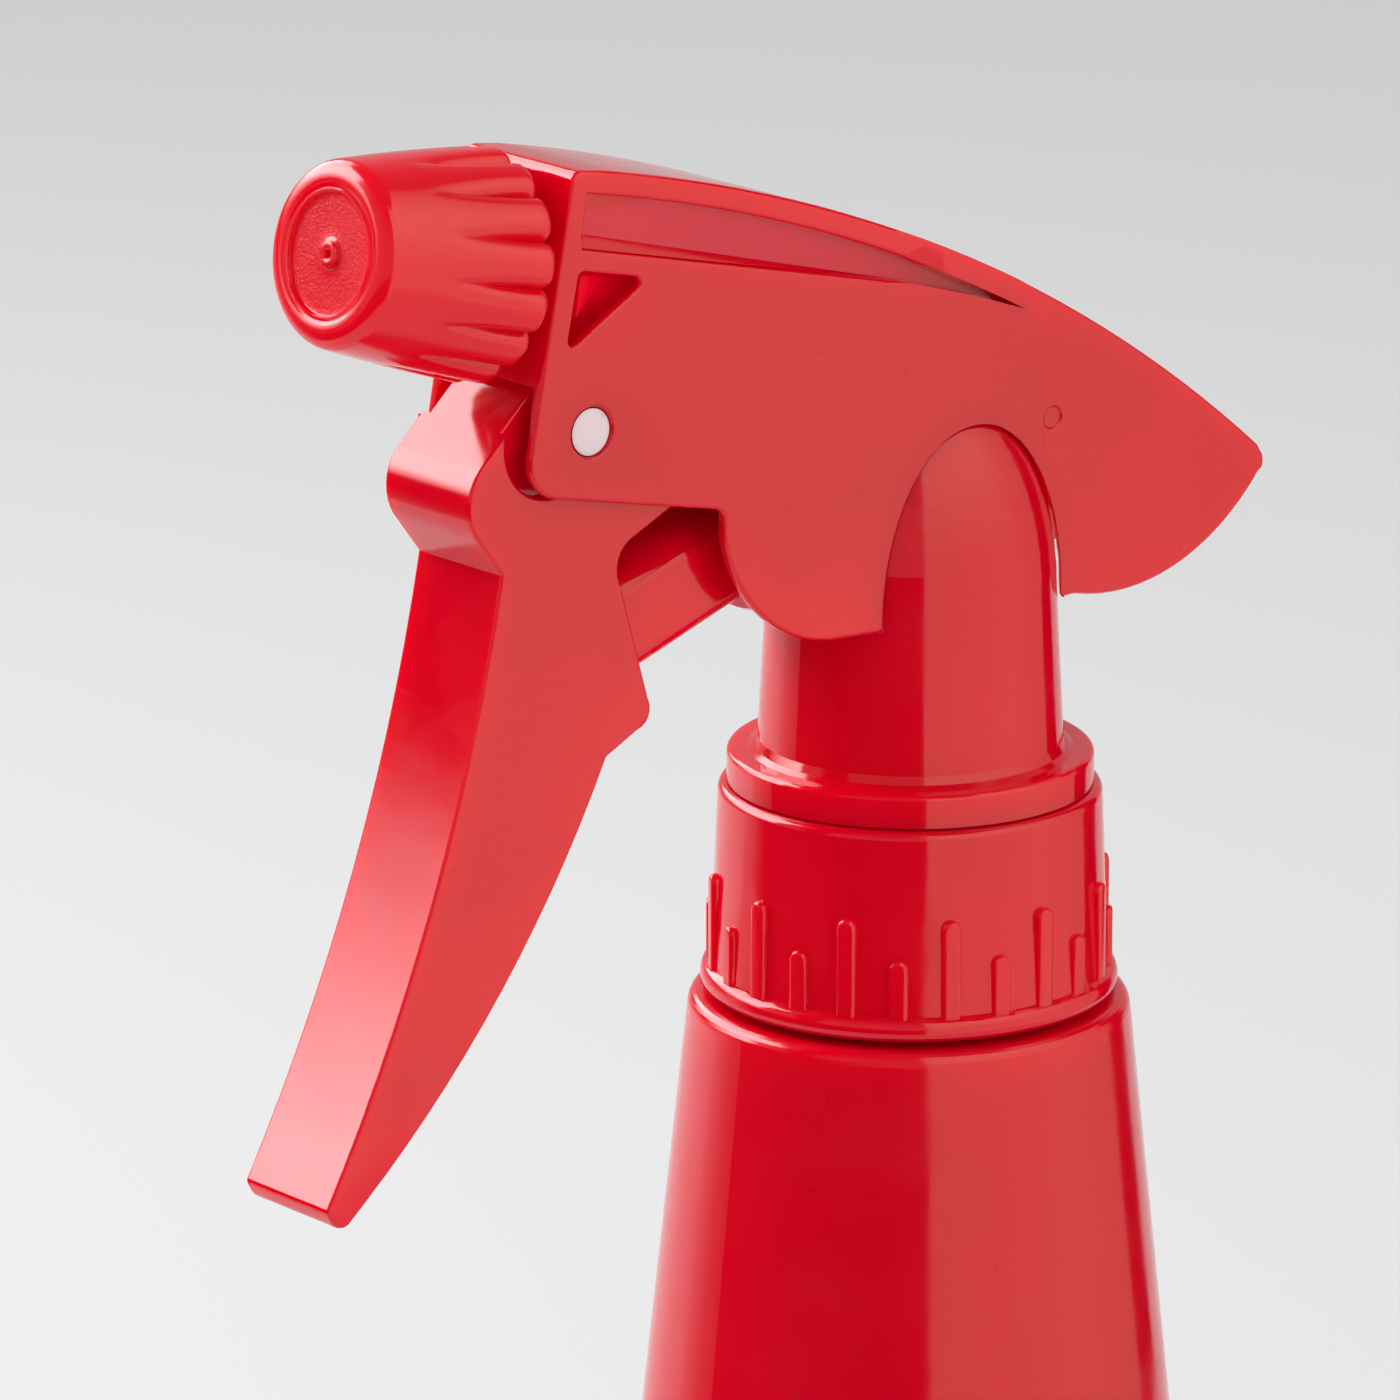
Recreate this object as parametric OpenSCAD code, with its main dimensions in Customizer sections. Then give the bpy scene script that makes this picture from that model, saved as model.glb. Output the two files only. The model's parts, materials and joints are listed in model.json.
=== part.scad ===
// Hand mister: a 350 ml cone bottle with a screw-on trigger spray head.
// Millimetres. +Z is up, +X is the way it sprays, and the origin is the
// centre of the bottle's base. The trigger and the pump lie in the XZ plane.

/* [Bottle] */
// Radius of the bottle where the cone would meet the table
base_r = 35; // [32:0.5:38]
// Radius of the rounded edge at the foot of the bottle
foot_round = 4; // [2:0.5:6]
// Radius of the cone at its shoulder
shoulder_r = 19.1; // [18.7:0.1:20]
// Height of the shoulder above the base
shoulder_z = 150.3; // [149.5:0.1:150.6]
// Thickness of the blown bottle wall
bottle_wall = 1.2; // [0.8:0.1:2]
// Outer radius of the plain neck
neck_r = 12.6; // [12.4:0.1:12.8]

/* [Screw collar] */
// Radius of the bead round the foot of the collar
bead_r = 18; // [17.6:0.1:18.4]
// Radius of the collar at its top shoulder
collar_r = 16.5; // [16.3:0.1:16.8]
// Height of the collar's foot above the base
collar_z = 151; // [150.9:0.1:151.3]
// Number of grip ribs round the collar
rib_count = 24; // [12:2:30]
// Width of one grip rib
rib_w = 1.7; // [1.2:0.1:2.2]
// Height of the tall ribs, above the collar's foot
tall_rib_h = 9.7; // [8:0.1:11]
// Height of the short ribs, above the collar's foot
short_rib_h = 6.3; // [4:0.1:7.5]

/* [Column] */
// Radius of the flange that covers the collar
flange_r = 15.75; // [15:0.05:16.2]
// Radius of the column where its dome starts
column_r = 12.4; // [12.2:0.1:12.6]
// Height of the dome above the straight part of the column
dome_h = 19.8; // [18:0.2:21]

/* [Shroud] */
// Half width of the shroud at its front
shroud_front_w = 6.8; // [6.7:0.05:7.2]
// Half width of the shroud over the column
shroud_mid_w = 8; // [7.8:0.1:8.2]
// Half width of the shroud at the tip of its tail
shroud_tail_w = 7.1; // [6:0.1:7.6]
// Wall thickness of the shroud
shroud_wall = 1.1; // [1:0.05:1.2]

/* [Trigger and pump] */
// Half width of the trigger
trigger_w = 5.5; // [5.3:0.05:5.6]
// Angle of the pump above the horizontal, rising to the rear
pump_tilt = 19; // [18:0.5:20]
// Radius of the pump bore
bore_r = 5.3; // [5.2:0.05:5.4]
// Radial clearance of every turning or sliding fit
fit = 0.06; // [0.04:0.01:0.08]

/* [Nozzle] */
// Angle of the nozzle above the horizontal
nozzle_tilt = 12; // [11:0.5:13]
// Radius of the nozzle cap at its front rim
cap_front_r = 7.75; // [7.5:0.05:8]
// Radius of the nozzle cap over the flutes at its rear
cap_rear_r = 9.75; // [9.5:0.05:9.9]
// Number of flutes round the nozzle cap
flute_count = 14; // [12:1:18]

/* [Hidden] */
$fn = 96;

// Heights up the bottle's axis
neck_top = 165.3;
gasket_h = 1;
insert_flange_z = neck_top + gasket_h;
insert_flange_h = 1.2;
lip_z = insert_flange_z + insert_flange_h + 0.15;
lip_h = 1.35;
flange_z = lip_z + lip_h + 0.2;
flange_h = 2.8;
dome_z = 186;
seat_z = 186.5;

// Radii about the bottle's axis
neck_bore = 11;
thread_r = 13.7;
spigot_r = 11.8;
column_foot_r = 13.1;
column_wall = 1.3;
tube_r = 2;
riser_bore = 2.3;
tower_r = 4.6;
socket_r = 3.3;
ball_r = 1.7;
seat_wide = 2.4;
seat_narrow = 1.2;
vent_count = 3;

// The dip tube, from just above the bottle's floor up into the insert
tube_foot_z = 7;
tube_top_z = 164;
strainer_z = 3.5;

// Pivot of the trigger, and a point on the pump's axis
pivot = [41.2, 207.8];
pump_at = [27.5, 192];
boss_r = 2;
hub_r = 7.9;
ear_w = 4.6;

// Distances along the pump's axis, rearwards from pump_at
rod_front = -11;
mouth_at = 6;
rod_rear = 14;
bore_end = 26;
cylinder_r = bore_r + 1;
rod_r = 5;
rod_flat = 4.1;

// The trigger's pushing rib lies just ahead of the rod
push_r = 1.5;
push_s = rod_front - push_r - 0.1;
push_at = [pump_at[0] - push_s * cos(pump_tilt), pump_at[1] + push_s * sin(pump_tilt)];

// Where the nozzle's axis meets the front of the shroud, and distances forward from there
nozzle_at = [44.3, 220.8];
cap_rear = 2.9;
cap_front = 19;
barrel_rear = -44;
barrel_step = -39.5;
socket_rear = -12;
barrel_r = 4.3;
valve_bore = 2.2;

// Arcs of the trigger's side view: the nose at its top, and the blade's front and back
nose_c = [48.3, 202.9];
nose_r = 4.6;
blade_front_c = [209.2, 227.9];
blade_front_r = 162.7;
blade_wall = 1.7;
blade_back_c = [129.8, 224.4];
blade_back_r = 101.8;
trigger_wall = 1.4;

// Arcs of the shroud's side view: its long back, the lobe over the pump and the tail
top_c = [72.9, 64.6];
top_r = 168;
lobe_c = [14.3, 198.8];
lobe_r = 13.2;
tail_c = [-17.5, 206.1];
tail_r = 22;
recess_floor_w = 5.9;
// Height of the sloping ledge at the recess's front end, and its slope in degrees
ledge_h = 1.1;
ledge_slope = 50;
top_inner_w = 4.75;

// Coils of the two springs
return_turns = 7;
outlet_turns = 6;

red = [0.80, 0.05, 0.08];
clear_grey = [0.82, 0.84, 0.85];
white = [0.92, 0.92, 0.90];
steel = [0.70, 0.71, 0.73];

// Points of an arc, from angle a0 to angle a1
function arc(c, r, a0, a1, steps) =
    [for (i = [0 : steps]) let (a = a0 + (a1 - a0) * i / steps) [c[0] + r * cos(a), c[1] + r * sin(a)]];

// Half width of the shroud at a distance x forward of the bottle's axis
function plan_w(x) = x > 0
    ? shroud_mid_w + (shroud_front_w - shroud_mid_w) * x / 46
    : shroud_mid_w + (shroud_tail_w - shroud_mid_w) * max(0, -x - 8) / 26;

// Puts a side view drawn in X and Z upright, spread evenly to both sides of the middle
module upright(w) {
    rotate([90, 0, 0])
        translate([0, 0, -w])
            linear_extrude(height = 2 * w) children();
}

// Local +Z runs rearwards along the pump's axis
module on_pump() {
    translate([pump_at[0], 0, pump_at[1]])
        rotate([0, pump_tilt - 90, 0]) children();
}

// Local +Z runs forwards along the nozzle's axis
module on_nozzle() {
    translate([nozzle_at[0], 0, nozzle_at[1]])
        rotate([0, 90 - nozzle_tilt, 0]) children();
}

module ring(r_out, r_in, h) {
    difference() {
        cylinder(r = r_out, h = h);
        translate([0, 0, -1]) cylinder(r = r_in, h = h + 2);
    }
}

// A round rubber ring lying flat, centred on its own plane
module o_ring(r_mid, r_cord) {
    rotate_extrude() translate([r_mid, 0]) circle(r = r_cord, $fn = 32);
}

// ---------- bottle ----------

module bottle() {
    slope = (base_r - shoulder_r) / shoulder_z;
    color(red) difference() {
        union() {
            rotate_extrude() polygon(concat(
                [[0, 0]],
                arc([base_r - foot_round - 0.4, foot_round], foot_round, -90, 6, 8),
                arc([shoulder_r - 1.3, shoulder_z - 1.3], 1.3, 6, 90, 6),
                [[0, shoulder_z]]));
            cylinder(r = neck_r, h = neck_top);
            for (z = [159.6, 163.6]) translate([0, 0, z - 0.7]) neck_ring();
        }
        // The inside of the cone, up to the shoulder
        rotate_extrude() polygon([
            [0, bottle_wall + 1.2],
            [26, bottle_wall],
            [base_r - foot_round - bottle_wall, bottle_wall],
            [base_r - slope * 5 - bottle_wall, 5],
            [shoulder_r - bottle_wall, shoulder_z - 3],
            [neck_bore, shoulder_z - 0.8],
            [neck_bore, neck_top + 1],
            [0, neck_top + 1]]);
        // The pushed-up middle of the base
        translate([0, 0, -1]) cylinder(r1 = 27.5, r2 = 25, h = 1.8);
    }
}

// One turn of the neck's screw thread, as a closed ring
module neck_ring() {
    cylinder(r1 = neck_r, r2 = thread_r, h = 0.5);
    translate([0, 0, 0.5]) cylinder(r = thread_r, h = 0.4);
    translate([0, 0, 0.9]) cylinder(r1 = thread_r, r2 = neck_r, h = 0.5);
}

// ---------- screw collar ----------

module screw_collar() {
    bead_h = 1.7;
    wall_top = lip_z + lip_h;
    // The wall above the bead, which tapers to the top shoulder
    foot_r = bead_r - 0.85;
    color(red) difference() {
        union() {
            rotate_extrude() polygon(concat(
                [[0, collar_z], [bead_r - 0.3, collar_z], [bead_r, collar_z + 0.3],
                 [bead_r, collar_z + bead_h - 0.4], [bead_r - 0.3, collar_z + bead_h],
                 [foot_r, collar_z + bead_h + 0.3]],
                arc([collar_r - 0.8, wall_top - 0.8], 0.8, 0, 90, 6),
                [[0, wall_top]]));
            for (i = [0 : rib_count - 1])
                rotate([0, 0, i * 360 / rib_count])
                    grip_rib(i % 2 == 0 ? tall_rib_h : short_rib_h);
        }
        translate([0, 0, collar_z - 1]) cylinder(r = 14.6, h = lip_z - collar_z + 1);
        translate([0, 0, collar_z]) cylinder(r = spigot_r + fit, h = 30);
    }
    // The collar's own thread sits under the turns on the neck
    color(red) for (z = [157.6, 161.6]) translate([0, 0, z - 0.6]) difference() {
        cylinder(r = 14.8, h = 1.2);
        translate([0, 0, -1]) cylinder(r = thread_r - 0.6, h = 4);
    }
}

// A raised grip rib with a round top, standing on the bead
module grip_rib(h) {
    deep = 2;
    translate([bead_r - 0.5 - deep, 0, collar_z + 1])
        rotate([90, 0, 90]) linear_extrude(height = deep) union() {
            translate([-rib_w / 2, 0]) square([rib_w, h - 0.3 - rib_w / 2]);
            translate([0, h - 0.3 - rib_w / 2]) circle(r = rib_w / 2, $fn = 32);
        }
}

module closure_gasket() {
    color(white) translate([0, 0, neck_top]) ring(13.4, 9.6, gasket_h);
}

// ---------- pump body ----------

// Outer skin of the column: a slightly tapered post with a half-ellipse dome, grown by g
module column_solid(g) {
    rotate_extrude() polygon(concat(
        [[0, flange_z], [column_foot_r + 0.9 + g, flange_z]],
        [[column_foot_r + 0.9 + g, flange_z + flange_h], [column_foot_r + 0.3 + g, flange_z + flange_h + 0.3],
         [column_foot_r + g, flange_z + flange_h + 1]],
        [for (i = [0 : 15]) [(column_r + g) * cos(i * 6), dome_z + (dome_h + g) * sin(i * 6)]]));
}

module pump_body() {
    color(red) difference() {
        union() {
            difference() {
                union() {
                    column_solid(0);
                    translate([0, 0, flange_z]) rotate_extrude() polygon(concat(
                        [[0, 0], [flange_r, 0]],
                        arc([flange_r - 0.5, flange_h - 0.5], 0.5, 0, 90, 5),
                        [[0, flange_h]]));
                    translate([0, 0, insert_flange_z + insert_flange_h]) cylinder(r = spigot_r, h = 3);
                }
                column_hollow();
            }
            // Pump cylinder, with a round lip at its mouth
            on_pump() {
                translate([0, 0, mouth_at]) cylinder(r = cylinder_r, h = bore_end - mouth_at + 1.2);
                intersection() {
                    union() {
                        translate([0, 0, mouth_at])
                            cylinder(r1 = cylinder_r + 0.2, r2 = cylinder_r + 0.6, h = 0.4);
                        translate([0, 0, mouth_at + 0.4]) cylinder(r = cylinder_r + 0.6, h = 1.6);
                    }
                    translate([-10, -cylinder_r, 0]) cube([20, 2 * cylinder_r, 20]);
                }
            }
            // Upright tube that holds the inlet valve and feeds the barrel
            translate([0, 0, 178]) cylinder(r = tower_r, h = 211.4 - 178);
            on_nozzle() {
                translate([0, 0, barrel_rear]) cylinder(r = 3, h = 10);
                translate([0, 0, barrel_step]) cylinder(r = barrel_r, h = -2.4 - barrel_step);
            }
            // Ramps that snap into the windows of the shroud, and fall away to the rear
            intersection() {
                upright(8) polygon([[41.8, 220.8], [38.5, 220.1], [42.4, 217.5]]);
                linear_extrude(height = 240) polygon([[43, 6.6], [36.5, 4.5], [36.5, -4.5], [43, -6.6]]);
            }
        }
        on_pump() translate([0, 0, mouth_at - 1]) cylinder(r = bore_r, h = bore_end - mouth_at + 1);
        translate([0, 0, 170]) cylinder(r = socket_r + 0.02, h = seat_z - 170);
        translate([0, 0, 170]) cylinder(r = riser_bore, h = 211 - 170);
        on_nozzle() translate([0, 0, barrel_rear + 0.01]) cylinder(r = 2, h = 60);
        on_nozzle() translate([0, 0, socket_rear]) cylinder(r = 3.02, h = 20);
    }
}

// The hollow inside the column, open at the foot
module column_hollow() {
    inner_r = column_r - column_wall;
    rotate_extrude() polygon(concat(
        [[0, flange_z - 10], [inner_r - 0.6, flange_z - 10], [inner_r - 0.6, flange_z + 1.5],
         [inner_r, flange_z + 3.5]],
        [for (i = [0 : 15]) [inner_r * cos(i * 6), dome_z + (dome_h - column_wall) * sin(i * 6)]]));
}

// The insert closes the foot of the column, traps the collar and carries the dip tube
module tube_insert() {
    color(clear_grey) difference() {
        union() {
            translate([0, 0, insert_flange_z]) cylinder(r = 13.5, h = insert_flange_h);
            translate([0, 0, insert_flange_z]) ring(column_r - column_wall - 0.62, 9.1, 4.2);
            translate([0, 0, 156]) cylinder(r = 3.6, h = insert_flange_z - 156);
            translate([0, 0, insert_flange_z]) cylinder(r = socket_r, h = seat_z - insert_flange_z);
        }
        translate([0, 0, 150]) cylinder(r = tube_r + 0.02, h = tube_top_z - 150);
        translate([0, 0, 150]) cylinder(r = seat_narrow, h = 40);
        translate([0, 0, seat_z + seat_narrow - seat_wide])
            cylinder(r1 = seat_narrow, r2 = seat_wide, h = seat_wide - seat_narrow + 0.01);
        // Vent holes that let air back into the bottle
        for (i = [0 : vent_count - 1]) rotate([0, 0, 60 + i * 360 / vent_count])
            translate([6.5, 0, 160]) cylinder(r = 0.8, h = 12, $fn = 24);
    }
}

module inlet_ball() {
    color(steel) translate([0, 0, seat_z + ball_rest()]) sphere(r = ball_r, $fn = 48);
}
// Height of the ball's centre above the top of its seat, resting on a 45 degree cone
function ball_rest() = ball_r * sqrt(2) - seat_wide + 0.03;

module dip_tube() {
    color(clear_grey) translate([0, 0, tube_foot_z]) ring(tube_r, 1.3, tube_top_z - tube_foot_z);
}

// A short slotted cup pushed over the end of the tube
module tube_strainer() {
    color(white) difference() {
        translate([0, 0, strainer_z]) cylinder(r = 3.2, h = 9);
        translate([0, 0, strainer_z + 1.5]) cylinder(r = 1.5, h = 3);
        translate([0, 0, tube_foot_z - 0.01]) cylinder(r = tube_r + 0.02, h = 9);
        for (i = [0 : 2]) rotate([0, 0, i * 60])
            translate([-5, -0.35, strainer_z + 1.1]) cube([10, 0.7, 1.8]);
    }
}

// ---------- piston ----------

module piston() {
    color(red) on_pump() difference() {
        union() {
            // Flat-sided rod that the trigger pushes
            intersection() {
                translate([0, 0, rod_front]) cylinder(r = rod_r, h = mouth_at - 1 - rod_front);
                translate([-rod_r, -rod_flat, rod_front]) cube([2 * rod_r, 2 * rod_flat, 40]);
            }
            translate([0, 0, mouth_at - 1.01]) cylinder(r = rod_r - 0.6, h = rod_rear - mouth_at + 1);
        }
        // Groove for the front seal
        translate([0, 0, 7.2]) ring(rod_r + 1, 3.8, 1.8);
        // Seat of the rear cup and the hollow that the spring stands in
        translate([0, 0, rod_rear - 2]) ring(rod_r + 1, 3.4, 4);
        translate([0, 0, 9.5]) cylinder(r = 2.9, h = 10);
    }
}

module piston_cup() {
    color(clear_grey) on_pump() difference() {
        translate([0, 0, rod_rear - 2]) cylinder(r = bore_r - 0.02, h = 3);
        translate([0, 0, rod_rear - 3]) cylinder(r = 3.42, h = 6);
        // The lip of the cup opens rearwards
        translate([0, 0, rod_rear]) cylinder(r1 = 3.8, r2 = bore_r - 0.35, h = 1.01);
    }
}

module vent_seal() {
    color(clear_grey) on_pump() translate([0, 0, 7.3]) ring(bore_r - 0.02, 3.82, 1.6);
}

// A coil of round wire as one swept tube
module coil(r_mid, r_wire, z0, z1, turns, sides, per_turn) {
    count = turns * per_turn;
    points = [for (i = [0 : count]) for (j = [0 : sides - 1])
        let (a = 360 * i / per_turn, b = 360 * j / sides, r = r_mid + r_wire * cos(b))
        [r * cos(a), r * sin(a), z0 + (z1 - z0) * i / count + r_wire * sin(b)]];
    faces = concat(
        [[for (j = [sides - 1 : -1 : 0]) j]],
        [[for (j = [0 : sides - 1]) count * sides + j]],
        [for (i = [0 : count - 1]) for (j = [0 : sides - 1])
            [i * sides + j, i * sides + (j + 1) % sides,
             (i + 1) * sides + (j + 1) % sides, (i + 1) * sides + j]]);
    polyhedron(points = points, faces = faces, convexity = 10);
}

module return_spring() {
    color(steel) on_pump() coil(2.3, 0.4, 9.95, bore_end - 0.45, return_turns, 8, 20);
}

// ---------- trigger ----------

// Side view of the whole trigger
module trigger_side() {
    union() {
        polygon(concat(
            arc(nose_c, nose_r, 47.5, -42, 10),
            arc(blade_front_c, blade_front_r, 191, 210, 14),
            arc([66.6, 146.2], 1.3, -30, -120, 5),
            arc(blade_back_c, blade_back_r, 230, 206.2, 14),
            arc([35.4, 182.8], 1.7, 260, 150, 6),
            arc([34.6, 195.2], 2.6, -25, 60, 6),
            [[29.4, 200.4]],
            arc([30.6, 202.9], 2.4, 220, 110, 6)));
        translate([pivot[0], pivot[1]]) circle(r = 4.6, $fn = 64);
        polygon([
            [30, 205.2], [38.9, 211.8], [45.1, 212.1],
            nose_c + nose_r * [cos(47.5), sin(47.5)], nose_c, [40, 203]]);
    }
}

// The same side view without its front wall, which leaves the hollow of the trigger
module trigger_hollow() {
    polygon(concat(
        arc(blade_front_c, blade_front_r + blade_wall, 190.8, 208.6, 14),
        [[60, 140], [20, 160], [20, 199], [30, 207], [34, 213], [39.5, 213], [44.6, 207.6],
         arc(nose_c, nose_r - 1.5, 40, 40, 1)[0]],
        arc(nose_c, nose_r - 1.5, 40, -42, 8)));
}

module trigger() {
    inner_w = trigger_w - trigger_wall;
    color(red) {
        difference() {
            union() {
                difference() {
                    upright(trigger_w) trigger_side();
                    upright(inner_w) trigger_hollow();
                }
                // Thick ears round the pivot
                for (side = [-1, 1]) translate([0, side * (3.2 + trigger_w) / 2, 0])
                    upright((trigger_w - 3.2) / 2) intersection() {
                        trigger_side();
                        translate(pivot) circle(r = hub_r, $fn = 64);
                    }
                // Rounded rib that pushes the rod, and the web that holds it
                upright(inner_w + 0.2) union() {
                    translate(push_at) circle(r = push_r, $fn = 48);
                    polygon([[push_at[0], push_at[1] - 0.9], [push_at[0], push_at[1] + 0.9],
                             [50.6, 189.2], [50.9, 187.4]]);
                }
                // Stiffening ribs across the hollow of the blade
                upright(inner_w + 0.2) intersection() {
                    trigger_side();
                    union() for (z = [160, 172]) translate([40, z]) rotate(-20) square([30, 1.2]);
                    polygon([[46, 150], [42, 180], [60, 180], [72, 150]]);
                }
            }
            // The ears stand back from the shroud's plates
            for (side = [-1, 1]) translate([0, side * (ear_w + 3), 0])
                upright(3) union() {
                    translate([44.4, 207.2]) circle(r = 4.6, $fn = 64);
                    polygon([[20, 199.8], [pivot[0], 203.4], [44.4, 203.4], [pivot[0] + 6, 214], [20, 214]]);
                }
        }
        // Bosses that turn in the plates of the shroud
        for (side = [-1, 1]) translate([0, side * (shroud_front_w + 3.4) / 2, 0])
            upright((shroud_front_w - 3.4) / 2) translate(pivot) circle(r = boss_r, $fn = 64);
    }
}

// ---------- shroud ----------

// Side view of the shroud
module shroud_side() {
    polygon(concat(
        arc([42.2, 228.65], 1, 12, 96, 4),
        arc(top_c, top_r, 101.4, 129.5, 28),
        arc([-33.35, 192.65], 1.4, 135, 215, 5),
        arc(tail_c, tail_r, 221, 285, 16),
        [[0, 184.8]],
        arc(lobe_c, lobe_r, -90, -8, 12),
        arc([28.4, 197.9], 1.2, 160, 100, 3),
        arc([44.3, 206], 3.3, -78, 12, 8)));
}

// Top view of the shroud, drawn in X and Y and inset by d
module shroud_plan(d) {
    right = [
        [46.5 + 4, plan_w(46) - d],
        [0, plan_w(0) - d],
        [-8, plan_w(-8) - d],
        [-36 + d, plan_w(-34) - d]];
    polygon(concat(right, [for (i = [3 : -1 : 0]) [right[i][0], -right[i][1]]]));
}

// The long slender recess under the top edge, as a side view, with its lower front corner raised by a ledge
module recess_side(ledge) {
    polygon(concat(
        arc(top_c, top_r - 2, 100.9, 118.2, 16),
        [[0, 212.9], [8, 215.25], [42, 223.2 + ledge]]));
}

// Sloping cut that joins the recess's floor to the plate along the ledge
module ledge_cut() {
    intersection() {
        translate([0, recess_floor_w + 3, 0]) upright(3) recess_side(0);
        translate([8, recess_floor_w, 215.25])
            rotate([0, -atan2(7.95 + ledge_h, 34), 0]) rotate([-ledge_slope, 0, 0]) cube([60, 20, 20]);
    }
}

module shroud() {
    color(red) difference() {
        intersection() {
            upright(12) shroud_side();
            translate([0, 0, 170]) linear_extrude(height = 70) shroud_plan(0);
        }
        // Inside of the plates, below the recess
        intersection() {
            upright(12) shroud_inside();
            translate([0, 0, 170]) linear_extrude(height = 70) shroud_plan(shroud_wall);
            upright(12) polygon([
                [60, 226.4], [60, 160], [-50, 160], [-50, 240], [-11.5, 240], [-9.5, 208.4], [4, 213]]);
        }
        // Inside of the narrow top, between the recesses
        upright(top_inner_w) shroud_inside();
        for (side = [-1, 1]) translate([0, side * (recess_floor_w + 3), 0]) upright(3) recess_side(ledge_h);
        ledge_cut();
        mirror([0, 1, 0]) ledge_cut();
        // Opening below the front wall for the trigger
        translate([0, 0, 195]) linear_extrude(height = 17.2) intersection() {
            shroud_plan(shroud_wall - 0.1);
            translate([34, -10]) square([20, 20]);
        }
        on_nozzle() translate([0, 0, -4]) cylinder(r = 5.2, h = 8);
        upright(12) polygon(concat(
            arc([42.01, 220.7], 0.5, 11.6, 102.5, 5),
            arc([36.69, 219.52], 0.5, 102.5, 239.3, 7),
            arc([43.03, 215.76], 0.5, 239.3, 371.6, 7)));
        upright(12) translate(pivot) circle(r = boss_r + fit, $fn = 64);
        // Room for the column that stands through both plates
        column_solid(0.25);
        for (side = [-1, 1]) translate([-8.9, side * (plan_w(-8.9) + 0.75), 200.9])
            rotate([90, 0, 0]) cylinder(r = 0.9, h = 2, center = true, $fn = 32);
    }
}

// Side view of the hollow, open at the bottom
module shroud_inside() {
    union() {
        intersection() {
            offset(delta = -shroud_wall - 0.1) shroud_side();
            translate([-60, 150]) square([160, 100]);
        }
        polygon([[40.5, 206], [28, 204], [14, 200], [8, 150], [60, 150], [60, 206]]);
        polygon(concat([[-29.5, 193]], arc(tail_c, tail_r - 1.2, 218, 290, 12),
            [[-5, 150], [14, 150], [20, 200], [0, 205]]));
        translate([-26, 150]) square([50, 44]);
    }
}

// ---------- barrel and nozzle ----------

module spray_barrel() {
    color(red) on_nozzle() difference() {
        union() {
            translate([0, 0, socket_rear + 0.3]) cylinder(r = 3, h = 10);
            translate([0, 0, -2.3]) cylinder(r = 4.9, h = 10.3);
            for (z = [4, 7]) translate([0, 0, z - 0.5]) cylinder(r = 5.5, h = 0.9);
            translate([0, 0, 8]) cylinder(r = 3.6, h = 7.5);
        }
        translate([0, 0, socket_rear]) cylinder(r = 1.2, h = 40);
        translate([0, 0, socket_rear + 4]) cylinder(r = valve_bore, h = 40);
        // Groove of the seal that the cap turns on
        translate([0, 0, 10.2]) ring(6, 3.05, 1.3);
    }
}

module barrel_seal() {
    color(white) on_nozzle() translate([0, 0, 10.85]) o_ring(3.42, 0.34);
}

// Poppet that closes the rear hole of the barrel until the pump pushes it forward
module outlet_valve() {
    color(clear_grey) on_nozzle() {
        translate([0, 0, socket_rear + 4 + 0.02]) cylinder(r = 1.9, h = 1.2);
        translate([0, 0, socket_rear + 5]) cylinder(r = 0.75, h = 4);
    }
}

module outlet_spring() {
    color(steel) on_nozzle() coil(1.4, 0.25, socket_rear + 5.5, 2.7, outlet_turns, 8, 16);
}

// Swirl plug: spins the water before it leaves the orifice
module spinner() {
    color(white) on_nozzle() difference() {
        union() {
            translate([0, 0, 3]) cylinder(r = valve_bore - 0.03, h = 12.5);
            translate([0, 0, 15.5]) cylinder(r = 3.3, h = 1.1);
        }
        translate([0, 0, 2]) cylinder(r = 1.2, h = 12.4);
        for (side = [0, 180]) rotate([0, 0, side]) translate([1.7, -0.35, 2]) cube([3, 0.7, 20]);
        translate([0, 0, 16.1]) cylinder(r = 1, h = 2);
    }
}

module nozzle_cap() {
    length = cap_front - cap_rear;
    // Radius of one lobe, and its lean towards the axis
    lobe = 2.1;
    lean = 11;
    color(red) on_nozzle() difference() {
        union() {
            translate([0, 0, cap_rear]) rotate_extrude() polygon(concat(
                [[0, 0], [cap_rear_r - 0.75, 0]],
                [[cap_front_r + 0.15, length - 2.2]],
                arc([cap_front_r - 0.9, length - 0.9], 0.9, 0, 90, 6),
                [[0, length]]));
            // Lobes between the flutes, which sink into the cone towards the front
            intersection() {
                translate([0, 0, cap_rear]) cylinder(r = 12, h = length - 2);
                for (i = [0 : flute_count - 1]) rotate([0, 0, (i + 0.5) * 360 / flute_count])
                    translate([cap_rear_r - lobe, 0, cap_rear - 1])
                        rotate([0, -lean, 0]) cylinder(r = lobe, h = length, $fn = 40);
            }
        }
        // Front recess with a boss round the orifice
        translate([0, 0, cap_front - 0.5]) ring(4.9, 0.95, 1);
        translate([0, 0, cap_front - 0.25]) ring(5.35, 5.05, 1);
        translate([0, 0, cap_front - 3]) cylinder(r = 0.35, h = 5, $fn = 24);
        // Hollow that turns on the barrel
        translate([0, 0, cap_rear - 1]) cylinder(r = 5.6, h = 9.1 - cap_rear + 1);
        translate([0, 0, cap_rear]) cylinder(r = 3.6 + fit + 0.1, h = 17 - cap_rear);
        translate([0, 0, cap_rear - 1]) ring(cap_rear_r - 1.9, 6.7, 9);
    }
}

bottle();
screw_collar();
closure_gasket();
pump_body();
tube_insert();
inlet_ball();
dip_tube();
tube_strainer();
piston();
piston_cup();
vent_seal();
return_spring();
trigger();
shroud();
spray_barrel();
barrel_seal();
outlet_valve();
outlet_spring();
spinner();
nozzle_cap();
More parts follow.
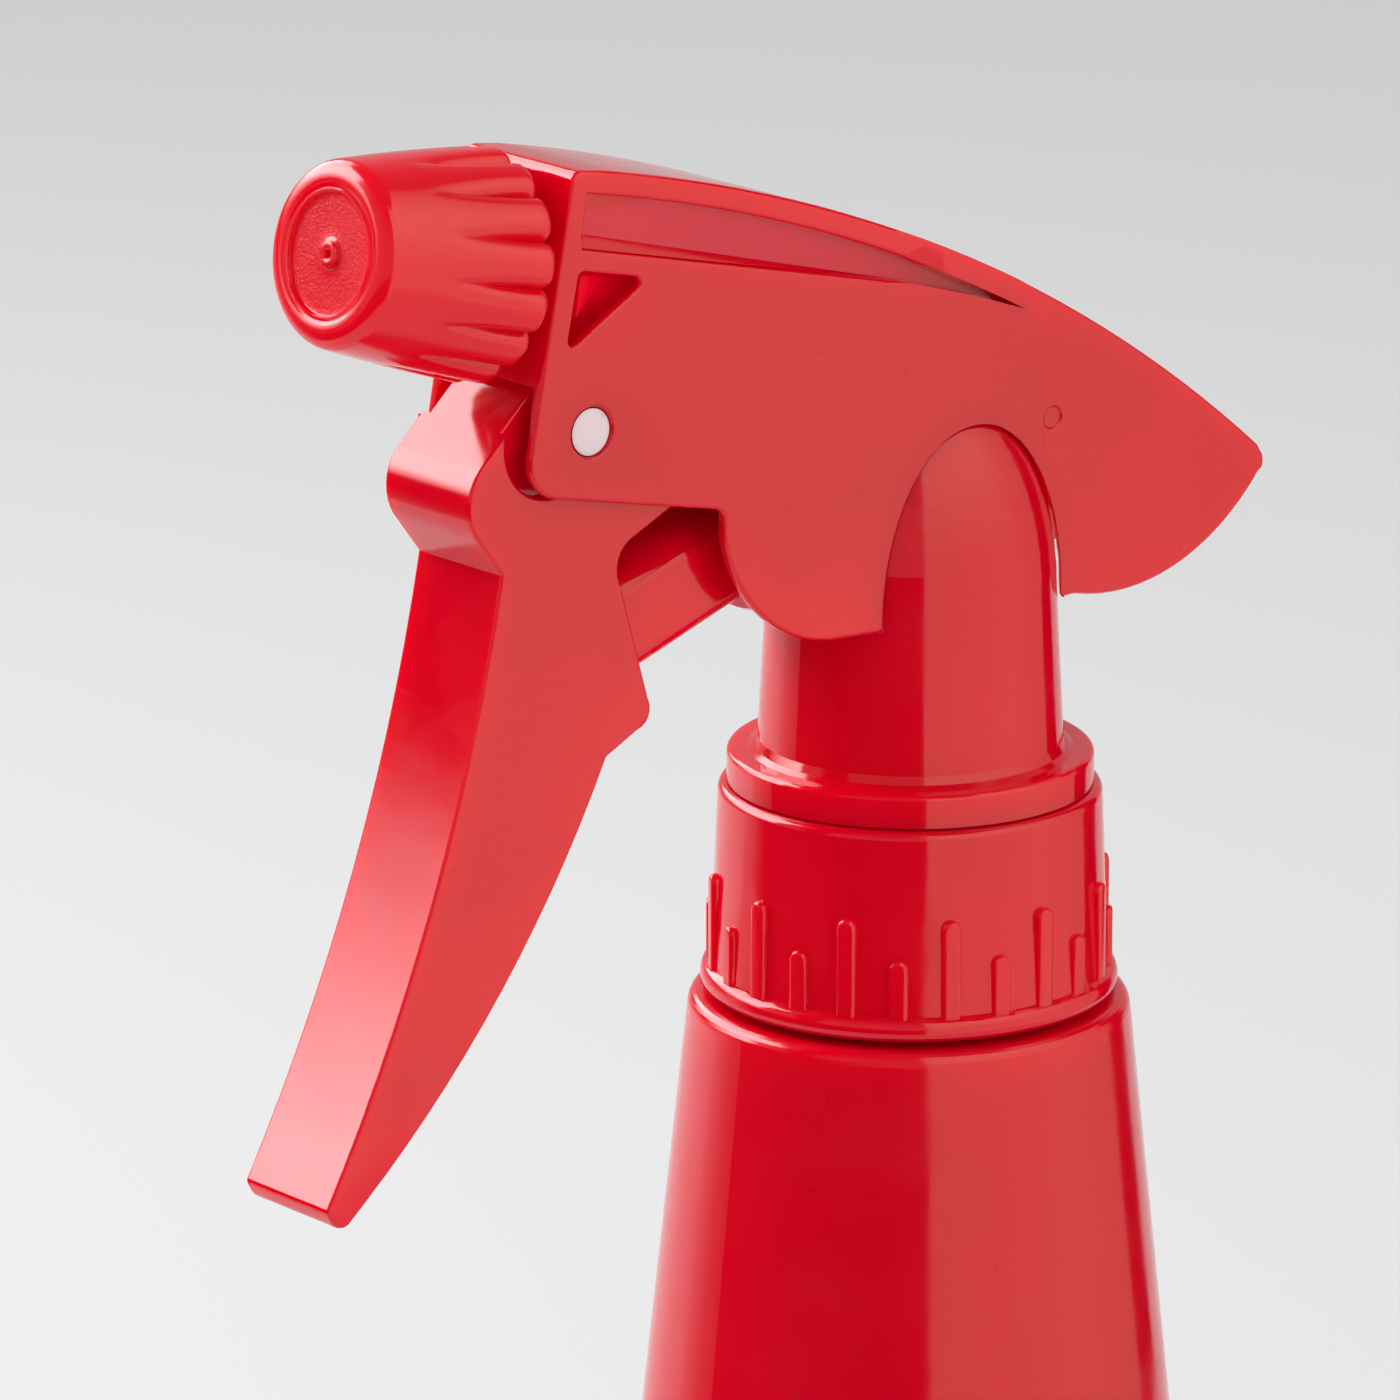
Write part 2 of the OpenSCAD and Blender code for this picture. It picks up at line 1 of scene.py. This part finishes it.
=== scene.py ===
# Looks for the hand mister: soft-edged copies of the moulded shells, a fluted nozzle cap,
# red translucent plastic, a pale floor and soft studio light.
import json
import math
import bmesh
import bpy
from mathutils import Matrix, Vector

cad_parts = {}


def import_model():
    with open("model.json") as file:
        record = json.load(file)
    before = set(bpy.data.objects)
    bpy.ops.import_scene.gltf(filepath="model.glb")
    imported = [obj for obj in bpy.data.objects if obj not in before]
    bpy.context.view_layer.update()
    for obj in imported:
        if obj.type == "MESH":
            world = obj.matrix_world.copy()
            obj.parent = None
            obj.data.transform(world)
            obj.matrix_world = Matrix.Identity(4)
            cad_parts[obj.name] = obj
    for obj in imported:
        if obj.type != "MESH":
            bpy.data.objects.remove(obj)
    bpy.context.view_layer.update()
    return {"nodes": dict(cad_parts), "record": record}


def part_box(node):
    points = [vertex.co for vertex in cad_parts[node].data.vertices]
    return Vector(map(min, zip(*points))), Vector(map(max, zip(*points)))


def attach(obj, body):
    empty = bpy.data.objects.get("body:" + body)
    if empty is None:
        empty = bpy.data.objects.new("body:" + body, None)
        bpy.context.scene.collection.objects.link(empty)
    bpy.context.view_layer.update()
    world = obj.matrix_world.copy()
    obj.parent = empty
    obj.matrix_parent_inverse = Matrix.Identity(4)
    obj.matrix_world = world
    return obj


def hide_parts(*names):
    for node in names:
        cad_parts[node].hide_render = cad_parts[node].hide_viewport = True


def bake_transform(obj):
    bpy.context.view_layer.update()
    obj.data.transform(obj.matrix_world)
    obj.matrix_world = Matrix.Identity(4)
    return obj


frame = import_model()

MM = 0.001
NODES = frame["nodes"]
NODES_BOX = {name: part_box(name) for name in NODES}


# ---------- materials ----------

class Graph:
    """A small helper round one material's node tree."""

    def __init__(self, name):
        self.mat = bpy.data.materials.new(name)
        self.mat.use_nodes = True
        self.tree = self.mat.node_tree
        self.bsdf = self.tree.nodes["Principled BSDF"]
        self.coords = self.add("ShaderNodeTexCoord").outputs["Object"]

    def add(self, kind, **values):
        node = self.tree.nodes.new(kind)
        for key, value in values.items():
            setattr(node, key, value)
        return node

    def link(self, a, b):
        self.tree.links.new(a, b)

    def noise(self, scale, detail=3.0, rough=0.55, stretch=None):
        node = self.add("ShaderNodeTexNoise")
        node.inputs["Scale"].default_value = scale
        node.inputs["Detail"].default_value = detail
        node.inputs["Roughness"].default_value = rough
        source = self.coords
        if stretch:
            mapping = self.add("ShaderNodeMapping")
            mapping.inputs["Scale"].default_value = stretch
            self.link(source, mapping.inputs["Vector"])
            source = mapping.outputs["Vector"]
        self.link(source, node.inputs["Vector"])
        return node.outputs["Fac"]

    def span(self, value, low, high, from_low=0.3, from_high=0.7):
        node = self.add("ShaderNodeMapRange")
        node.inputs["From Min"].default_value = from_low
        node.inputs["From Max"].default_value = from_high
        node.inputs["To Min"].default_value = low
        node.inputs["To Max"].default_value = high
        self.link(value, node.inputs["Value"])
        return node.outputs["Result"]

    def math(self, operation, a, b):
        node = self.add("ShaderNodeMath", operation=operation)
        for slot, value in zip(node.inputs, (a, b)):
            if isinstance(value, (int, float)):
                slot.default_value = value
            else:
                self.link(value, slot)
        return node.outputs[0]

    def mix(self, factor, a, b):
        node = self.add("ShaderNodeMix", data_type="RGBA")
        for index, value in ((0, factor), (6, a), (7, b)):
            if isinstance(value, (int, float, tuple)):
                plain = isinstance(value, (int, float))
                node.inputs[index].default_value = value if plain else (*value, 1)
            else:
                self.link(value, node.inputs[index])
        return node.outputs[2]

    def zone(self, **limits):
        """One inside a box given in metres, zero outside; y counts both ways from the middle."""
        split = self.add("ShaderNodeSeparateXYZ")
        self.link(self.coords, split.inputs[0])
        mask = 1.0
        for axis, (low, high) in limits.items():
            value = split.outputs["xyz".index(axis)]
            if axis == "y":
                value = self.math("ABSOLUTE", value, 0.0)
            above = self.math("GREATER_THAN", value, low)
            below = self.math("LESS_THAN", value, high)
            mask = self.math("MULTIPLY", self.math("MULTIPLY", above, below), mask)
        return mask

    def bump(self, height, distance, strength=1.0, normal=None):
        node = self.add("ShaderNodeBump")
        node.inputs["Strength"].default_value = strength
        node.inputs["Distance"].default_value = distance
        self.link(height, node.inputs["Height"])
        if normal:
            self.link(normal, node.inputs["Normal"])
        return node.outputs["Normal"]


def plastic(name, colour, deep, rough=(0.07, 0.14), sss=0.5, sss_scale=0.006, grain=0.0, waves=0.00002,
            painted_reflection_zone=None, reflection_tint=None, dull_painted_glow_zone=None, glow=0.0):
    """Glossy moulded plastic: slow colour drift, uneven polish, faint sink waves and fine grain.

    deep is the colour where the plastic is thicker, and rough the range of its roughness. sss and
    sss_scale set how much light goes through it and how far, in metres. painted_reflection_zone is a
    zone whose colour turns to reflection_tint, a painted reflection. dull_painted_glow_zone is a zone
    without mirror light, which takes a painted glow standing in for the light that comes through.
    """
    g = Graph(name)
    drift = g.span(g.noise(28, 2.0), 0.0, 1.0, 0.35, 0.65)
    flow = g.span(g.noise(90, 4.0, 0.6, (1.0, 1.0, 0.25)), 0.0, 0.35, 0.45, 0.75)
    speck = g.span(g.noise(1500, 1.0), 0.0, 0.5, 0.72, 0.8)
    tone = g.mix(drift, colour, tuple(c * 0.93 for c in colour))
    tone = g.mix(flow, tone, deep)
    tone = g.mix(speck, tone, tuple(c * 0.7 for c in deep))
    # Painted reflection: in this zone the colour turns a purplish red that stands in for what the surface
    # mirrors
    if painted_reflection_zone:
        tone = g.mix(g.zone(**painted_reflection_zone), tone, reflection_tint)
    g.link(tone, g.bsdf.inputs["Base Color"])
    polish = g.span(g.noise(160, 4.0, 0.6), rough[0], rough[1], 0.35, 0.7)
    scuff = g.span(g.noise(420, 2.0, 0.5, (1.0, 1.0, 6.0)), 0.0, 0.06, 0.6, 0.75)
    g.link(g.math("ADD", polish, scuff), g.bsdf.inputs["Roughness"])
    normal = g.bump(g.noise(70, 2.0, 0.4), waves * 12, 0.35)
    normal = g.bump(g.noise(900, 2.0, 0.5), waves * 0.35, 0.5 + grain, normal)
    if grain:
        normal = g.bump(g.noise(4200, 2.0, 0.6), 0.00006 * grain, 1.0, normal)
    g.link(normal, g.bsdf.inputs["Normal"])
    # Painted glow: in this zone the mirror light is turned down and the plastic glows in its own red,
    # standing in for light that comes through it
    if dull_painted_glow_zone:
        inside = g.zone(**dull_painted_glow_zone)
        g.link(g.span(inside, 0.5, 0.03, 0.0, 1.0), g.bsdf.inputs["Specular IOR Level"])
        g.bsdf.inputs["Emission Color"].default_value = (*colour, 1)
        g.link(g.math("MULTIPLY", inside, glow), g.bsdf.inputs["Emission Strength"])
    g.bsdf.inputs["Subsurface Weight"].default_value = sss
    g.bsdf.inputs["Subsurface Radius"].default_value = (1.0, 0.12, 0.08)
    g.bsdf.inputs["Subsurface Scale"].default_value = sss_scale
    return g.mat


RED = (0.79, 0.0001, 0.0150)
DEEP = (0.71, 0.0001, 0.0120)

# The floor of the hood's recesses, which takes a painted purplish reflection, and the part of the pump
# seen through the hood's windows, which keeps no mirror light and takes a painted red glow
PAINTED_REFLECTION_ON_RECESS_FLOOR = dict(y=(5.8 * MM, 5.97 * MM), z=(212 * MM, 226 * MM))
PAINTED_GLOW_BEHIND_WINDOWS = dict(x=(34 * MM, 44 * MM), z=(213 * MM, 224 * MM))

MATERIALS = {
    "bottle": plastic("bottle red polyethylene", RED, DEEP, (0.10, 0.17), 0.5, 0.006, waves=0.00003),
    "head": plastic("head red polypropylene", RED, DEEP),
    # The hood's recess floors carry a painted purplish reflection
    "shroud": plastic("shroud red polypropylene", RED, DEEP, painted_reflection_zone=PAINTED_REFLECTION_ON_RECESS_FLOOR, reflection_tint=(0.80, 0.0006, 0.036)),
    # The pump seen through the windows carries a painted glow
    "pump": plastic("pump red polypropylene", RED, DEEP, dull_painted_glow_zone=PAINTED_GLOW_BEHIND_WINDOWS, glow=0.22),
    "cap": plastic("cap red polypropylene", (0.82, 0.0006, 0.0150), RED, (0.10, 0.18), 0.6, 0.007),
    "cap_disc": plastic("etched disc of the cap", (0.84, 0.0008, 0.0160), RED, (0.20, 0.32), 0.5, 0.004, 0.7),
    "clear": plastic("milky polyethylene", (0.80, 0.83, 0.84), (0.72, 0.76, 0.78), (0.2, 0.3), 0.5, 0.004),
    "white": plastic("white moulded plastic", (0.84, 0.84, 0.80), (0.78, 0.78, 0.73),
                     (0.25, 0.4), 0.2, 0.002),
    # The pivot ends are coloured a pale pinkish white, far lighter than the red plastic round them
    "pivot": plastic("polished pivot end", (0.92, 0.70, 0.74), (0.88, 0.62, 0.66), (0.06, 0.1), 0.2, 0.001),
    "rubber": plastic("pale seal rubber", (0.70, 0.70, 0.66), (0.62, 0.62, 0.58),
                      (0.45, 0.6), 0.1, 0.001, 0.4),
}

# The etched disc mirrors little of the room
MATERIALS["cap_disc"].node_tree.nodes["Principled BSDF"].inputs["Specular IOR Level"].default_value = 0.2


def steel():
    g = Graph("spring steel")
    g.link(g.mix(g.noise(600, 3.0), (0.62, 0.63, 0.65), (0.48, 0.49, 0.52)), g.bsdf.inputs["Base Color"])
    g.link(g.span(g.noise(900, 4.0, 0.6, (1, 1, 8)), 0.18, 0.34), g.bsdf.inputs["Roughness"])
    g.link(g.bump(g.noise(2500, 2.0), 0.00001, 0.6), g.bsdf.inputs["Normal"])
    g.bsdf.inputs["Metallic"].default_value = 1.0
    return g.mat


MATERIALS["steel"] = steel()

# Every node that isn't named here is head plastic
NODE_MATERIAL = {
    "bottle": "bottle", "nozzle_cap": "cap", "shroud": "shroud", "pump_body": "pump",
    "closure_gasket": "rubber", "barrel_seal": "rubber",
    "tube_insert": "clear", "dip_tube": "clear", "outlet_valve": "clear",
    "piston_cup": "clear", "vent_seal": "clear",
    "tube_strainer": "white", "spinner": "white",
    "inlet_ball": "steel", "return_spring": "steel", "outlet_spring": "steel",
}
for node_name, node_object in NODES.items():
    chosen = MATERIALS[NODE_MATERIAL.get(node_name, "head")]
    node_object.data.materials.clear()
    node_object.data.materials.append(chosen)


# ---------- soft-edged copies of the moulded shells ----------

def body_for(node):
    """The moving body that a node belongs to."""
    bodies = frame["record"]["behaviour"]["bodies"]
    return next(body for body, nodes in bodies.items() if node in nodes)


def add_object(name, bm, material, smooth_angle=30):
    """A smooth-shaded object whose edges above smooth_angle stay sharp."""
    mesh = bpy.data.meshes.new(name)
    bm.normal_update()
    for face in bm.faces:
        face.smooth = True
    for edge in bm.edges:
        edge.smooth = len(edge.link_faces) == 2 and edge.calc_face_angle(0) < math.radians(smooth_angle)
    bm.to_mesh(mesh)
    bm.free()
    mesh.materials.append(material)
    piece = bpy.data.objects.new(name, mesh)
    bpy.context.collection.objects.link(piece)
    return piece


def outside(edge):
    return edge.is_convex


def soften(node, width, keep=outside, segments=3, angle=32):
    """A copy of a moulded shell. Its edges sharper than angle that keep chooses are rounded over."""
    bm = bmesh.new()
    bm.from_mesh(NODES[node].data)
    # Weld the triangles and join the flat ones, so that every edge left is a real one
    bmesh.ops.remove_doubles(bm, verts=bm.verts, dist=2e-6)
    bmesh.ops.dissolve_degenerate(bm, edges=bm.edges, dist=1e-6)
    bmesh.ops.dissolve_limit(bm, angle_limit=math.radians(0.4), verts=bm.verts, edges=bm.edges)
    bm.normal_update()
    sharp = [e for e in bm.edges if len(e.link_faces) == 2 and e.calc_face_angle(0) > math.radians(angle)
             and keep(e)]
    bmesh.ops.bevel(bm, geom=sharp, offset=width, offset_type="OFFSET", segments=segments, profile=0.5,
                    affect="EDGES", clamp_overlap=False, harden_normals=False)
    bmesh.ops.triangulate(bm, faces=[f for f in bm.faces if len(f.verts) > 4])
    piece = add_object(node + "_shell", bm, NODES[node].data.materials[0])
    even = piece.modifiers.new("flat faces stay flat", "WEIGHTED_NORMAL")
    even.keep_sharp = True
    even.weight = 100
    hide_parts(node)
    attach(piece, body_for(node))


# Height of the step on the inner side of the hood's plates, in mm
INNER_STEP_Z = 212.2


def shroud_edge(edge):
    """The hood's outside edges, less two places that are too thin to round over, given in mm."""
    middle = (edge.verts[0].co + edge.verts[1].co) / 2 / MM
    # The recess tapers away to nothing here
    at_recess_end = -7 < middle.x < 9 and middle.z > 209.5 and abs(middle.y) > 5.5
    # The step on the inner side of each plate is narrower than the rounding
    at_inner_step = middle.x > 30 and abs(middle.z - INNER_STEP_Z) < 0.6 and abs(middle.y) < 6.6
    return edge.is_convex and not at_recess_end and not at_inner_step


soften("shroud", 0.4 * MM, keep=shroud_edge)
soften("trigger", 0.35 * MM)
soften("screw_collar", 0.38 * MM)
soften("piston", 0.5 * MM)


# ---------- still copies of the springs ---------------------------

def closing_spring(node):
    """A still copy of a spring, its placing baked into the mesh; the spring node itself is hidden."""
    piece = bpy.data.objects.new(node + "_coil", NODES[node].data.copy())
    bpy.context.collection.objects.link(piece)
    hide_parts(node)
    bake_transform(piece)


closing_spring("return_spring")
closing_spring("outlet_spring")


# ---------- ends of the trigger's pivot bosses ----------

PIVOT = Vector((41.2, 0, 207.8)) * MM
PIVOT_END_R = 1.97 * MM
PIVOT_END_H = 0.2 * MM
PIVOT_END_SUNK = 0.05 * MM


def pivot_ends():
    """The melted-over ends of the two bosses: a low dome on each."""
    turns, rows = 48, 6
    for side, name in ((1, "near"), (-1, "far")):
        bm = bmesh.new()
        base = NODES_BOX["trigger"][1].y - PIVOT_END_SUNK
        rings = []
        for row in range(rows + 1):
            rise = row / rows * math.pi / 2
            r = PIVOT_END_R * math.cos(rise)
            y = base + PIVOT_END_H * math.sin(rise)
            rings.append([(r * math.cos(2 * math.pi * k / turns), y, r * math.sin(2 * math.pi * k / turns))
                          for k in range(turns)] if row < rows else [(0, y, 0)])
        verts = [[bm.verts.new(PIVOT + Vector((x, side * y, z))) for x, y, z in ring] for ring in rings]
        for a, b in zip(verts, verts[1:]):
            for k in range(turns):
                j = (k + 1) % turns
                bm.faces.new((a[k], a[j], b[j], b[k]) if len(b) > 1 else (a[k], a[j], b[0]))
        bm.faces.new(verts[0])
        bmesh.ops.recalc_face_normals(bm, faces=bm.faces)
        piece = add_object("pivot_end_" + name, bm, MATERIALS["pivot"])
        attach(piece, "trigger")


pivot_ends()


# ---------- nozzle cap ----------

NOZZLE_AT = Vector((44.3, 0, 220.8)) * MM
NOZZLE_TILT = math.radians(12)
ON_NOZZLE = Matrix.Translation(NOZZLE_AT) @ Matrix.Rotation(math.radians(90) - NOZZLE_TILT, 4, "Y")

# Sizes of the cap in mm; heights run along the nozzle's axis from NOZZLE_AT
CAP_REAR, CAP_FRONT = 2.9, 19.0
CAP_REAR_R, CAP_FRONT_R = 9.72, 7.75
REAR_ROUND, FRONT_ROUND = 0.8, 1.5
SIDE_END = CAP_REAR + 0.85
SIDE_CROWN = 0.12
ORIFICE_R, ORIFICE_REAR = 0.36, 17.0
DISC_AT = 18.6
DISC_RADII = (1.4, 2.2, 3.4, 4.4, 4.9)
BORE_R, BORE_END = 5.62, 9.05
POCKET_R, POCKET_REAR = 3.78, 9.1

# Flutes: how many, points round each, the turn of the first one in points, and the grooves' depths
FLUTES = 14
PER_FLUTE = 16
CAP_PHASE = -2
GROOVE_WIDE, GROOVE_NARROW = 0.35, 0.95


def smoothstep(a, b, x):
    t = min(1.0, max(0.0, (x - a) / (b - a)))
    return t * t * (3 - 2 * t)


def cap_face():
    """Radius and height of the cap's front, from the orifice outwards."""
    orifice = [(ORIFICE_R, ORIFICE_REAR), (ORIFICE_R, 18.86), (0.42, 18.95)]
    boss = [(0.55, CAP_FRONT), (0.9, CAP_FRONT), (1.0, 18.97), (1.05, 18.88), (1.08, 18.74)]
    boss_foot = [(1.25, 18.70), (1.32, 18.62)]
    disc = [(r, DISC_AT) for r in DISC_RADII]
    ring = [(4.98, 18.62), (5.02, 18.72), (5.05, 18.96), (5.1, 19.03), (5.22, 19.03), (5.28, 18.96)]
    rim = [(5.34, 18.9), (5.5, 18.9), (5.6, 18.97), (5.75, CAP_FRONT), (6.2, CAP_FRONT)]
    return orifice + boss + boss_foot + disc + ring + rim


def cap_profile():
    """Radius, height and share of the flutes' depth of each ring, from the orifice round to the inside."""
    rows = [(r, z, 0) for r, z in cap_face()]
    # Rounded shoulder
    centre = (CAP_FRONT_R - FRONT_ROUND, CAP_FRONT - FRONT_ROUND)
    for i in range(1, 11):
        a = math.radians(90 - 83 * i / 10)
        rows.append((centre[0] + FRONT_ROUND * math.cos(a), centre[1] + FRONT_ROUND * math.sin(a), 0))
    # Crowned side, where the flutes grow deeper towards the rear
    start_r, start_z, _ = rows[-1]
    steps = 34
    for i in range(1, steps + 1):
        t = i / steps
        z = start_z + (SIDE_END - start_z) * t
        r = start_r + (CAP_REAR_R - start_r) * t + SIDE_CROWN * math.sin(math.pi * t)
        rows.append((r, z, smoothstep(0.22, 1.0, t)))
    # Rounded rear edge and flat rear face
    for i in range(1, 7):
        a = math.radians(90 * i / 6)
        rows.append((CAP_REAR_R - REAR_ROUND * (1 - math.cos(a)), SIDE_END - REAR_ROUND * math.sin(a), 1))
    rows += [(8.4, CAP_REAR + 0.02, 0.75), (7.4, CAP_REAR, 0), (6.9, CAP_REAR, 0), (5.75, CAP_REAR, 0)]
    # Bore over the barrel, then the narrower pocket round the swirl plug
    rows += [(BORE_R, CAP_REAR + 0.15, 0), (BORE_R, BORE_END, 0)]
    rows += [(POCKET_R, POCKET_REAR, 0), (POCKET_R, ORIFICE_REAR, 0)]
    return rows


def nozzle_cap():
    """The fluted cap as one closed sweep of its profile; its disc has its own material."""
    bm = bmesh.new()
    count = FLUTES * PER_FLUTE
    rings = []
    for r, z, share in cap_profile():
        ring = []
        for k in range(count):
            a = 2 * math.pi * (k + CAP_PHASE) / count
            # u goes from 0 on a crest to 1 in a groove
            u = abs(((k + PER_FLUTE / 2) % PER_FLUTE) / PER_FLUTE * 2 - 1)
            dip = share * (GROOVE_WIDE * u ** 2 + GROOVE_NARROW * u ** 5)
            ring.append(bm.verts.new(((r - dip) * math.cos(a) * MM, (r - dip) * math.sin(a) * MM, z * MM)))
        rings.append(ring)
    for a, b in zip(rings, rings[1:] + rings[:1]):
        for k in range(count):
            j = (k + 1) % count
            bm.faces.new((a[k], a[j], b[j], b[k]))
    bmesh.ops.recalc_face_normals(bm, faces=bm.faces)
    bm.verts.index_update()
    bmesh.ops.transform(bm, matrix=ON_NOZZLE, verts=bm.verts)
    first = [r for r, z, share in cap_profile()].index(DISC_RADII[0])
    last = first + len(DISC_RADII) - 1
    for face in bm.faces:
        if all(first <= v.index // count <= last for v in face.verts):
            face.material_index = 1
    piece = add_object("fluted_cap", bm, MATERIALS["cap"], 40)
    piece.data.materials.append(MATERIALS["cap_disc"])
    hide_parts("nozzle_cap")
    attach(piece, "nozzle_cap")


nozzle_cap()


# ---------- camera, floor and light ----------

CAMERA_AT = Vector((0.4951, 0.5488, 0.3895))
CAMERA_YAW, CAMERA_PITCH = math.radians(-130.66), math.radians(16.12)
CAMERA_LENS_MM, CAMERA_SENSOR_MM = 231.43, 36


def camera():
    data = bpy.data.cameras.new("camera")
    data.sensor_width = CAMERA_SENSOR_MM
    data.lens = CAMERA_LENS_MM
    data.clip_end = 20
    shooter = bpy.data.objects.new("camera", data)
    bpy.context.collection.objects.link(shooter)
    level = math.cos(CAMERA_PITCH)
    ahead = Vector((level * math.cos(CAMERA_YAW), level * math.sin(CAMERA_YAW), -math.sin(CAMERA_PITCH)))
    aim = ahead.to_track_quat("-Z", "Y").to_matrix().to_4x4()
    shooter.matrix_world = Matrix.Translation(CAMERA_AT) @ aim
    bpy.context.scene.camera = shooter


def floor():
    """A wide matt floor that mirrors nothing."""
    g = Graph("pale floor")
    g.link(g.mix(g.noise(2.0, 2.0), (0.745, 0.745, 0.745), (0.725, 0.725, 0.73)), g.bsdf.inputs["Base Color"])
    g.bsdf.inputs["Specular IOR Level"].default_value = 0
    g.link(g.span(g.noise(30, 3.0), 0.55, 0.7), g.bsdf.inputs["Roughness"])
    bm = bmesh.new()
    bmesh.ops.create_grid(bm, x_segments=1, y_segments=1, size=4)
    piece = add_object("floor", bm, g.mat)


def card(name, azimuth, heights, radius, glow, fades=(), reflection_tint=(1, 1, 1, 1)):
    """A curved card round the object that only glossy surfaces see.

    azimuth gives its two ends in degrees, and heights its two edges in metres. Each fade is the axis,
    where it starts, where it ends and the share of the glow left at the start. The axis is "z" in
    metres or "turn" in degrees.
    """
    g = Graph(name)
    g.bsdf.inputs["Base Color"].default_value = (0, 0, 0, 1)
    g.bsdf.inputs["Specular IOR Level"].default_value = 0
    split = g.add("ShaderNodeSeparateXYZ")
    g.link(g.coords, split.inputs[0])
    level = glow
    for axis, start, end, share in fades:
        if axis == "z":
            step = g.span(split.outputs[2], share, 1.0, start, end)
        else:
            turn = g.math("ARCTAN2", split.outputs[1], split.outputs[0])
            step = g.span(turn, share, 1.0, math.radians(start), math.radians(end))
        level = g.math("MULTIPLY", step, level)
    g.bsdf.inputs["Emission Color"].default_value = reflection_tint
    if fades:
        g.link(level, g.bsdf.inputs["Emission Strength"])
    else:
        g.bsdf.inputs["Emission Strength"].default_value = glow
    bm = bmesh.new()
    columns = []
    strips = 32
    for i in range(strips + 1):
        a = math.radians(azimuth[0] + (azimuth[1] - azimuth[0]) * i / strips)
        columns.append([bm.verts.new((radius * math.cos(a), radius * math.sin(a), z)) for z in heights])
    for a, b in zip(columns, columns[1:]):
        bm.faces.new((a[0], b[0], b[1], a[1]))
    piece = add_object(name, bm, g.mat)
    for flag in ("camera", "diffuse", "transmission", "shadow", "volume_scatter"):
        setattr(piece, "visible_" + flag, False)


HEAD_MIDDLE = Vector((0, 0, 0.19))


def area(name, azimuth, elevation, distance, size, power):
    """A soft lamp aimed at the head, which glossy surfaces don't see."""
    data = bpy.data.lights.new(name, "AREA")
    data.shape = "RECTANGLE"
    data.size, data.size_y = size
    data.energy = power
    lamp = bpy.data.objects.new(name, data)
    bpy.context.collection.objects.link(lamp)
    a, e = math.radians(azimuth), math.radians(elevation)
    out = Vector((math.cos(a) * math.cos(e), math.sin(a) * math.cos(e), math.sin(e)))
    lamp.location = HEAD_MIDDLE + out * distance
    lamp.visible_glossy = False
    lamp.rotation_euler = (-out).to_track_quat("-Z", "Y").to_euler()


def world(level, low, high):
    """An even pale sky of strength level. Glossy surfaces see low near the horizon and high overhead."""
    sky = bpy.data.worlds.new("studio")
    bpy.context.scene.world = sky
    sky.use_nodes = True
    tree = sky.node_tree
    fade = tree.nodes.new("ShaderNodeMapRange")
    for slot, value in (("From Min", 0.35), ("From Max", 0.85), ("To Min", low), ("To Max", high)):
        fade.inputs[slot].default_value = value
    split = tree.nodes.new("ShaderNodeSeparateXYZ")
    choose = tree.nodes.new("ShaderNodeMix")
    choose.inputs[2].default_value = level
    tree.links.new(tree.nodes.new("ShaderNodeTexCoord").outputs["Generated"], split.inputs[0])
    tree.links.new(split.outputs[2], fade.inputs["Value"])
    tree.links.new(tree.nodes.new("ShaderNodeLightPath").outputs["Is Glossy Ray"], choose.inputs[0])
    tree.links.new(fade.outputs["Result"], choose.inputs[3])
    tree.links.new(choose.outputs[0], tree.nodes["Background"].inputs["Strength"])
    tree.nodes["Background"].inputs["Color"].default_value = (1, 1, 1, 1)


camera()
floor()
world(0.70, 0.42, 0.10)
area("key", -62, 36, 1.0, (0.6, 0.5), 6.8)
area("side fill", 100, 22, 1.0, (0.6, 0.6), 2.4)
card("key card", (-108, -40), (0.20, 1.1), 0.8, 9.6, [("z", 0.25, 0.42, 0.0), ("turn", -84, -58, 0.6)])
card("white card", (58, 171), (-0.05, 0.95), 0.4, 1.25, [("turn", 166, 128, 0.42), ("z", 0.46, 0.20, 1.5)],
     (1, 1, 0.82, 1))
card("dark flag", (-66, 58), (-0.05, 0.20), 0.4, 0.7, [("turn", -46, -60, 0.0)])
card("dark strip", (169, 190), (-0.05, 0.60), 0.4, 0.0)
bpy.context.scene.view_settings.view_transform = "Standard"
